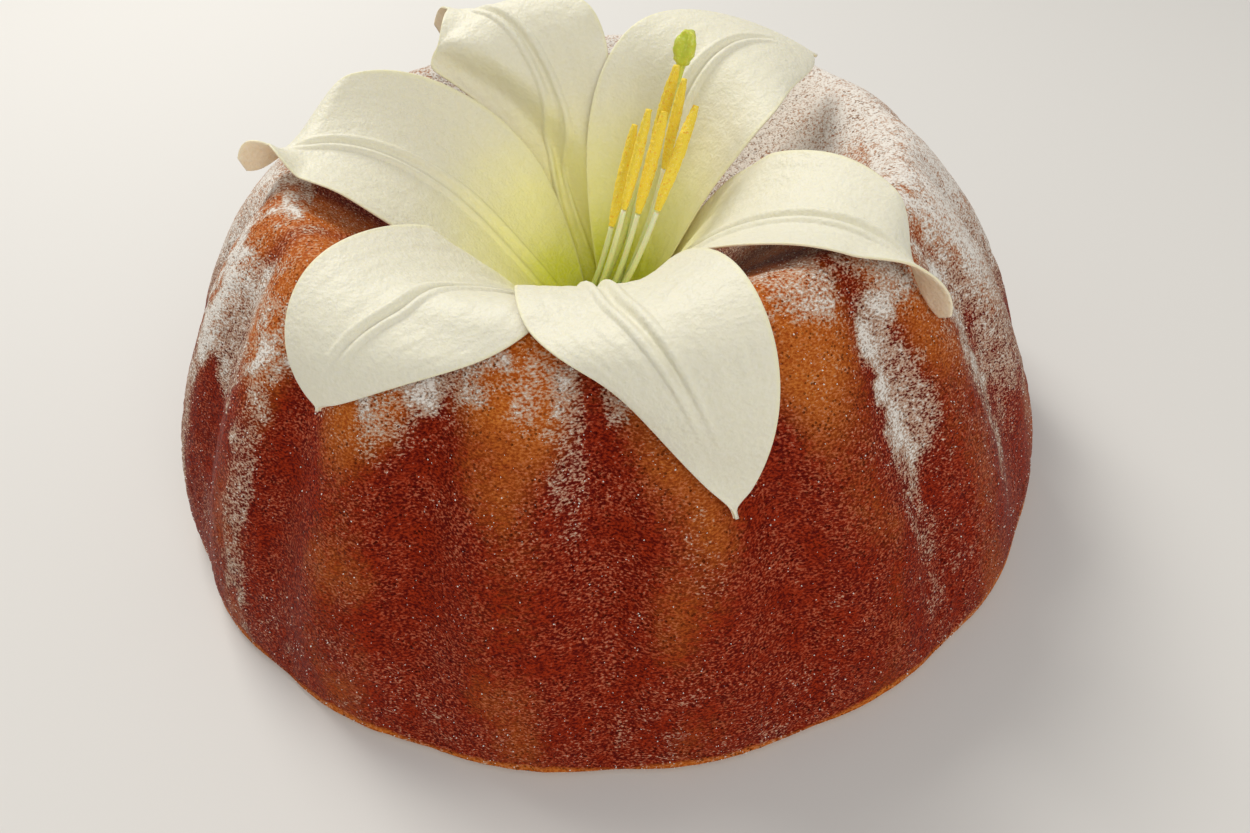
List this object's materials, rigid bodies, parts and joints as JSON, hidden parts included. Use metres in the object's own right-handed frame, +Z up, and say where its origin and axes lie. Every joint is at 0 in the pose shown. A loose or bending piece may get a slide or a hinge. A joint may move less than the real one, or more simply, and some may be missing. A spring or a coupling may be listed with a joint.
{
  "type": "vanilla cake",
  "caption": "Fluted ring cake dusted with icing sugar, with an open white lily set in its middle hole as decoration.",
  "frame": {"origin": "the middle of the cake's flat underside", "axes": "+Z up through the cake's hole; the picture is taken from the -Y side, with +X to its right"},
  "size_m": [0.241, 0.2394, 0.1095],
  "materials": {
    "crust": "baked golden-brown crust, porous and matt, dusted with icing sugar",
    "petal": "waxy cream-white petal, faintly ribbed, green-yellow in the throat",
    "stalk": "smooth green stalk",
    "filament": "smooth pale green filament",
    "anther": "powdery golden-yellow pollen",
    "pistil": "pale green style with a moist lime-green stigma"
  },
  "bodies": {
    "root": {"cake": "crust", "stalk": "stalk", "petal_left": "petal", "petal_front": "petal", "petal_back_right": "petal", "petal_front_left": "petal", "petal_right": "petal", "petal_back": "petal", "filament_1": "filament", "filament_2": "filament", "filament_3": "filament", "filament_4": "filament", "filament_5": "filament", "filament_6": "filament", "anther_1": "anther", "anther_2": "anther", "anther_3": "anther", "anther_4": "anther", "anther_5": "anther", "anther_6": "anther", "pistil": "pistil"}
  },
  "joints": []
}
